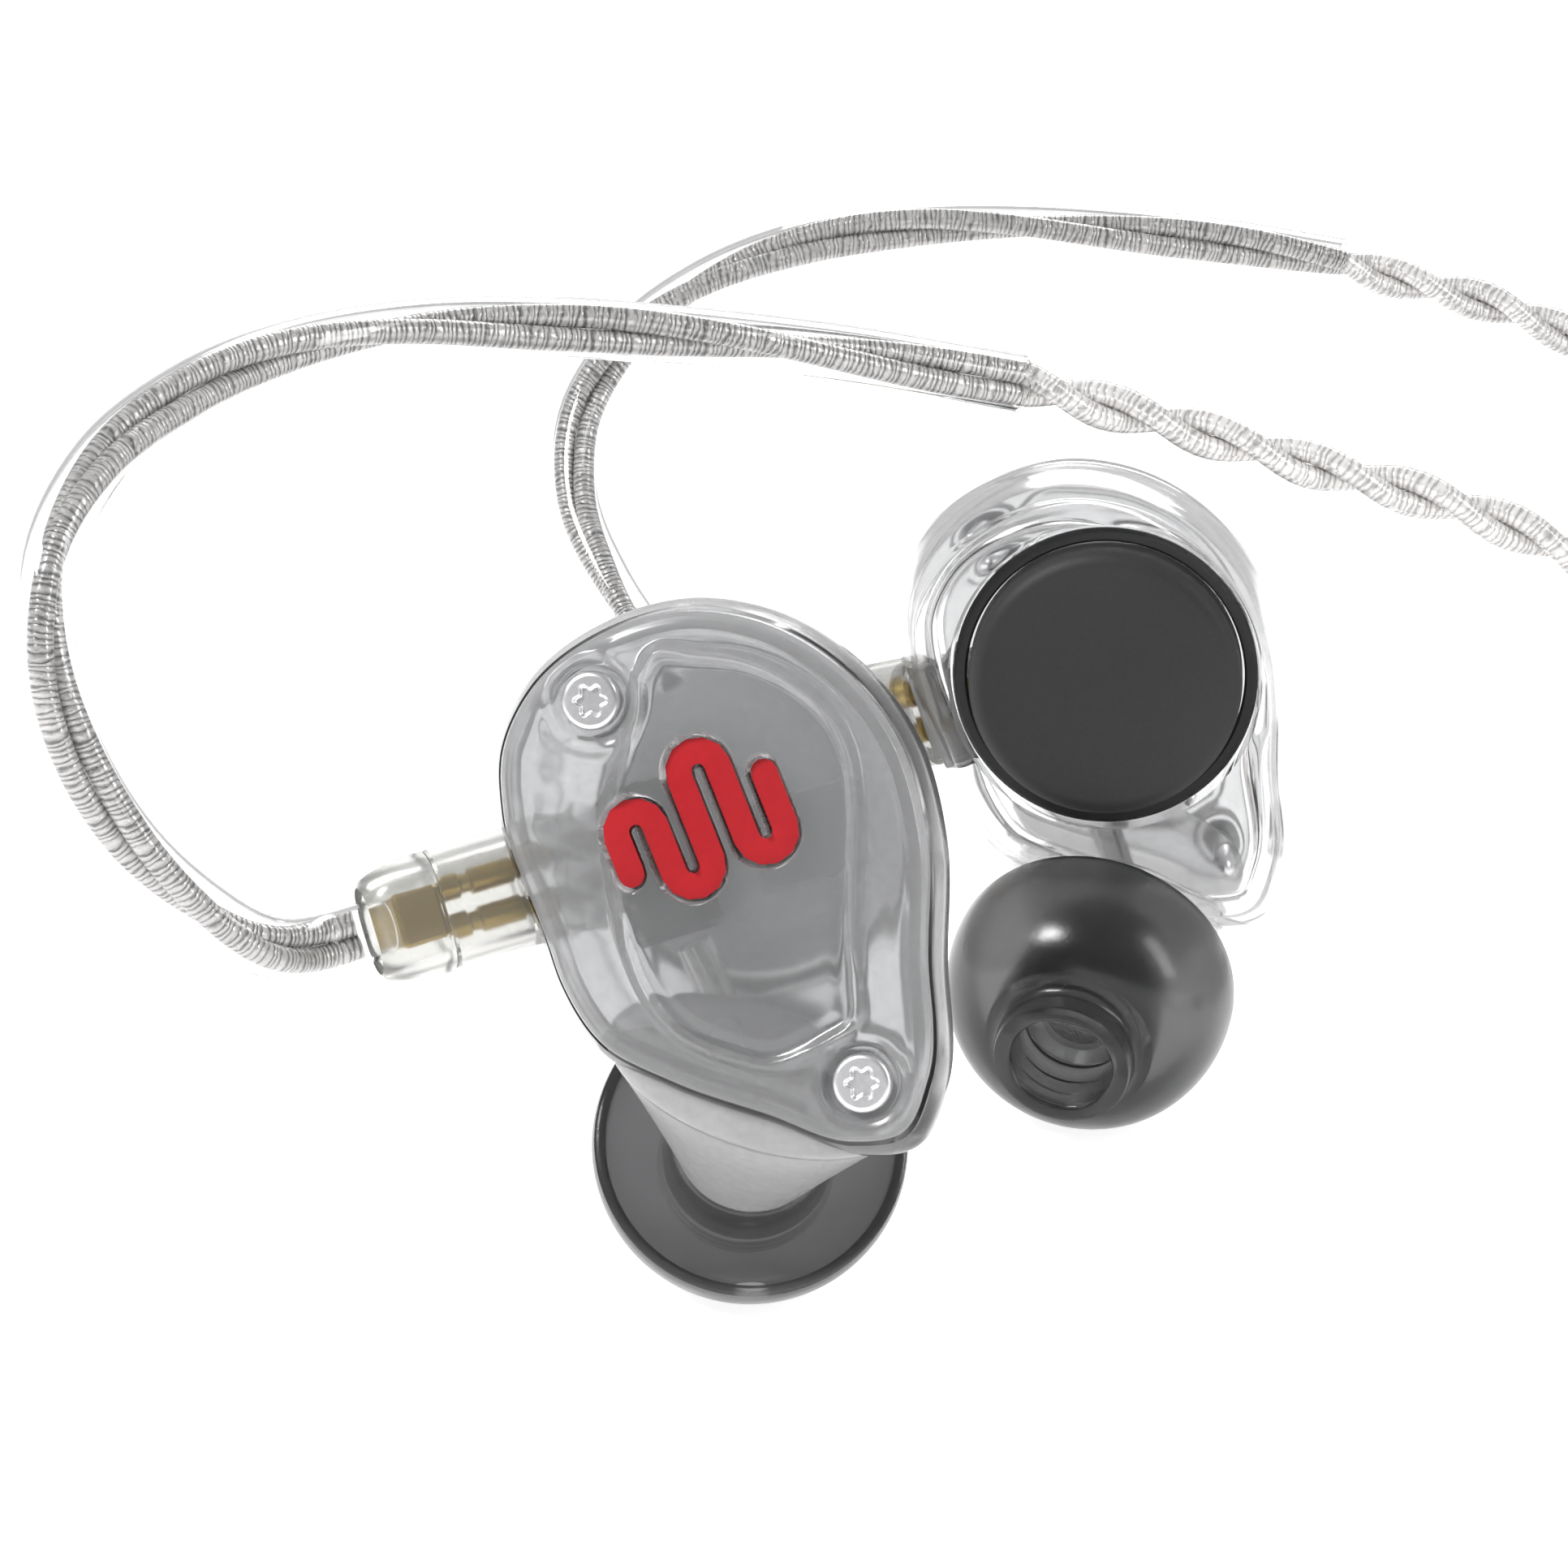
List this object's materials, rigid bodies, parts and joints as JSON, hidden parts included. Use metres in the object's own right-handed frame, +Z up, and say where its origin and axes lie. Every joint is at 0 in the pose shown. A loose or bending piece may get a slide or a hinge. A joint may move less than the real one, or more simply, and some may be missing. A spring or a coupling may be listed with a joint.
{
  "type": "in-ear monitors",
  "caption": "Pair of clear in-ear monitors with silicone tips on a detachable twisted cable with ear hooks, coiled and ending in a stereo plug.",
  "frame": {"origin": "bottom centre of the box around the earpieces, plugs and ear guides, on the surface the ear tips stand on (the free cable is left out)", "axes": "+Z up; the faceplate of the left earpiece looks towards -Y; the cable runs off towards +X"},
  "size_m": [0.1092, 0.0735, 0.0409],
  "materials": {
    "clear_shell": "clear, polished",
    "face_plate": "smoky translucent, satin field with polished rims",
    "inlay_red": "deep red, glossy",
    "screw_steel": "bright",
    "driver_black": "matte",
    "magnet_steel": "satin",
    "armature_can": "dark satin",
    "board_green": "lacquered board",
    "frosted": "clear to frosted",
    "tip_silicone": "dark translucent silicone",
    "mesh_steel": "fine mesh",
    "gold": "gold plated",
    "wire_silver": "clear skin over silver strands",
    "plug_black": "matte"
  },
  "bodies": {
    "cable": {"left_plug_barrel": "frosted", "left_plug_cap": "frosted", "left_plug_pin_a": "gold", "left_plug_pin_b": "gold", "left_plug_crimp": "gold", "left_ear_guide": "frosted", "left_guide_wires": "wire_silver", "left_branch_lead": "wire_silver", "left_branch_coil": "wire_silver", "left_branch_tail": "wire_silver", "right_plug_barrel": "frosted", "right_plug_cap": "frosted", "right_plug_pin_a": "gold", "right_plug_pin_b": "gold", "right_plug_crimp": "gold", "right_ear_guide": "frosted", "right_guide_wires": "wire_silver", "right_branch_lead": "wire_silver", "right_branch_coil": "wire_silver", "right_branch_tail": "wire_silver", "cable_splitter": "plug_black", "main_lead_start": "wire_silver", "main_lead_coil": "wire_silver", "main_lead_end": "wire_silver", "coil_tie": "plug_black", "jack_relief": "plug_black", "jack_barrel": "screw_steel", "jack_sleeve": "gold", "jack_insulator_a": "plug_black", "jack_ring": "gold", "jack_insulator_b": "plug_black", "jack_tip": "gold"},
    "left_earpiece": {"left_shell": "clear_shell", "left_faceplate": "face_plate", "left_mark_inlay": "inlay_red", "left_driver_cap": "driver_black", "left_driver_magnet": "magnet_steel", "left_driver_ring": "driver_black", "left_armature_driver": "armature_can", "left_crossover_board": "board_green", "left_sound_tube": "frosted", "left_connector_socket": "frosted", "left_nozzle_screen": "mesh_steel", "left_screw_upper": "screw_steel", "left_screw_lower": "screw_steel"},
    "left_ear_tip_body": {"left_ear_tip": "tip_silicone"},
    "right_earpiece": {"right_shell": "clear_shell", "right_faceplate": "face_plate", "right_mark_inlay": "inlay_red", "right_driver_cap": "driver_black", "right_driver_magnet": "magnet_steel", "right_driver_ring": "driver_black", "right_armature_driver": "armature_can", "right_crossover_board": "board_green", "right_sound_tube": "frosted", "right_connector_socket": "frosted", "right_nozzle_screen": "mesh_steel", "right_screw_upper": "screw_steel", "right_screw_lower": "screw_steel"},
    "right_ear_tip_body": {"right_ear_tip": "tip_silicone"}
  },
  "joints": [
    {"name": "left_plug_pull", "type": "slide", "parent": "cable", "child": "left_earpiece", "axis": [0.927, 0.3208, 0.1941], "range_m": [0, 0.0045]},
    {"name": "left_tip_pull", "type": "slide", "parent": "left_earpiece", "child": "left_ear_tip_body", "axis": [-0.0494, 0.8608, -0.5065], "range_m": [0, 0.005]},
    {"name": "right_plug_pull", "type": "slide", "parent": "cable", "child": "right_earpiece", "axis": [0.829, -0.4754, 0.2946], "range_m": [0, 0.0045]},
    {"name": "right_tip_pull", "type": "slide", "parent": "right_earpiece", "child": "right_ear_tip_body", "axis": [-0.2606, -0.9179, -0.2993], "range_m": [0, 0.005]}
  ]
}
